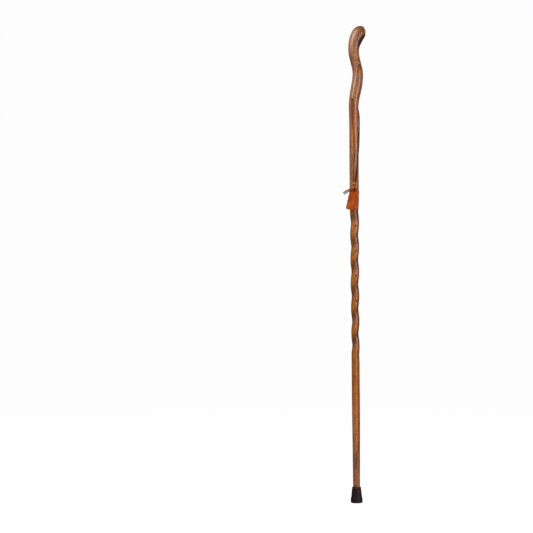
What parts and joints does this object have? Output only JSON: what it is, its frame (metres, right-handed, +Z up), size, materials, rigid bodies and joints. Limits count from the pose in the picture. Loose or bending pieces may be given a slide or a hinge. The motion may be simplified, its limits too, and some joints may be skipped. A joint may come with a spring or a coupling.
{
  "type": "hiking staff",
  "caption": "Tall wooden hiking staff with an S-bent knobbed handle, a spiral-carved middle, a rubber ferrule and a knotted leather wrist thong with a hang tag.",
  "frame": {"origin": "middle of the rubber tip's ground face", "axes": "+Z up along the shaft, +X the side that the head leans to, -Y the front, where the knot and the tag hang"},
  "size_m": [0.0711, 0.0423, 1.397],
  "materials": {
    "oak": "stained and satin varnished oak, open grain",
    "rubber": "matt black moulded rubber",
    "steel": "plain steel washer",
    "lace": "red-brown leather lace with golden cut edges",
    "tag_leather": "orange-tan vegetable-tanned leather"
  },
  "bodies": {
    "tip": {"rubber_tip": "rubber", "tip_washer": "steel"},
    "staff": {"oak_staff": "oak"},
    "thong": {"thong_front_leg": "lace", "thong_rear_leg": "lace", "thong_knot": "lace", "thong_upper_tail": "lace", "thong_lower_tail": "lace", "tag_loop": "lace"},
    "tag": {"hang_tag": "tag_leather"}
  },
  "joints": [
    {"name": "tip_pull_off", "type": "slide", "parent": "tip", "child": "staff", "axis": [0, 0, 1], "range_m": [0, 0.045]},
    {"name": "thong_swing", "type": "hinge", "parent": "staff", "child": "thong", "pos_m": [0.00159, 0, 1.18], "axis": [-0.5, -0.866, 0], "range_deg": [0, 110]},
    {"name": "tag_swing", "type": "hinge", "parent": "thong", "child": "tag", "pos_m": [0.0002, -0.0183, 0.913], "axis": [0, -1, 0], "range_deg": [-25, 40]}
  ]
}
